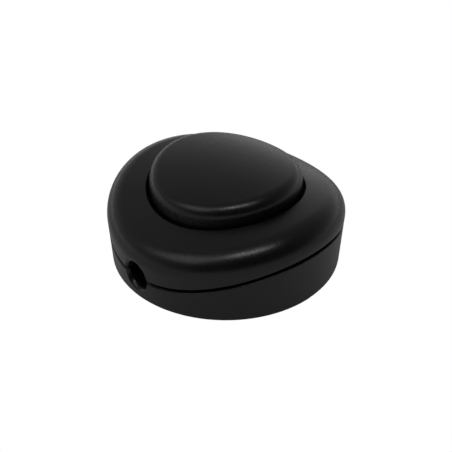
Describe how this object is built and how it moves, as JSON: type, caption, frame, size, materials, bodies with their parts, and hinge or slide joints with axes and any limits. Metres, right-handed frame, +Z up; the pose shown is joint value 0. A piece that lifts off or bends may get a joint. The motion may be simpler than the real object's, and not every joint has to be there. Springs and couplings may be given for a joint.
{
  "type": "foot switch",
  "caption": "Round in-line foot switch: domed press button in an arched two-part black housing with a cord entry at each end and a push-push ratchet mechanism inside.",
  "frame": {"origin": "on the floor under the middle of the round housing", "axes": "+Z up along the button's travel, X along the cord from the inlet at -X to the outlet at +X, Y along the ridge of the arch"},
  "size_m": [0.0694, 0.0698, 0.0308],
  "materials": {
    "shell_black": "fine moulded satin grain",
    "button_black": "fine moulded satin grain",
    "nylon_white": "moulded matt",
    "acetal_white": "moulded satin",
    "spring_steel": "drawn, lightly oiled",
    "zinc_steel": "bright zinc",
    "brass": "machined",
    "bronze": "rolled strip",
    "silver": "polished contact face",
    "clamp_black": "moulded matt",
    "rubber_black": "matt"
  },
  "bodies": {
    "housing": {"base_shell": "shell_black", "top_cover": "shell_black", "mechanism_frame": "nylon_white", "frame_screws": "zinc_steel", "ratchet_axle": "zinc_steel", "detent_spring": "spring_steel", "live_in_terminal": "brass", "live_out_terminal": "brass", "fixed_contact": "brass", "fixed_contact_tip": "silver", "neutral_link": "brass", "earth_link": "brass", "terminal_screws": "zinc_steel", "inlet_cord_clamp": "clamp_black", "outlet_cord_clamp": "clamp_black", "cord_clamp_screws": "zinc_steel", "cover_screws": "zinc_steel", "return_spring": "spring_steel", "rubber_foot_front_left": "rubber_black", "rubber_foot_front_right": "rubber_black", "rubber_foot_rear_left": "rubber_black", "rubber_foot_rear_right": "rubber_black"},
    "button": {"foot_button": "button_black", "plunger": "acetal_white", "drive_pawl": "spring_steel"},
    "ratchet": {"ratchet_wheel": "acetal_white"},
    "moving_contact": {"contact_leaf": "bronze", "leaf_contact_tip": "silver"}
  },
  "joints": [
    {"name": "button_press", "type": "slide", "parent": "housing", "child": "button", "axis": [0, 0, -1], "range_m": [0, 0.004], "stiffness_N_per_m": 2500, "springref_m": -0.004, "deforming": ["return_spring"]},
    {"name": "ratchet_index", "type": "hinge", "parent": "housing", "child": "ratchet", "pos_m": [0, 0, 0.01054], "axis": [0, 1, 0], "range_deg": [0, 45]},
    {"name": "contact_leaf_flex", "type": "hinge", "parent": "housing", "child": "moving_contact", "pos_m": [-0.0143, 0.0025, 0.0066], "axis": [0, 1, 0], "range_deg": [0, 3.1]}
  ],
  "couplings": [
    {"joint": "ratchet_index", "follows": "button_press", "rad_per_m": 196.35},
    {"joint": "contact_leaf_flex", "follows": "button_press", "rad_per_m": 13.319}
  ]
}
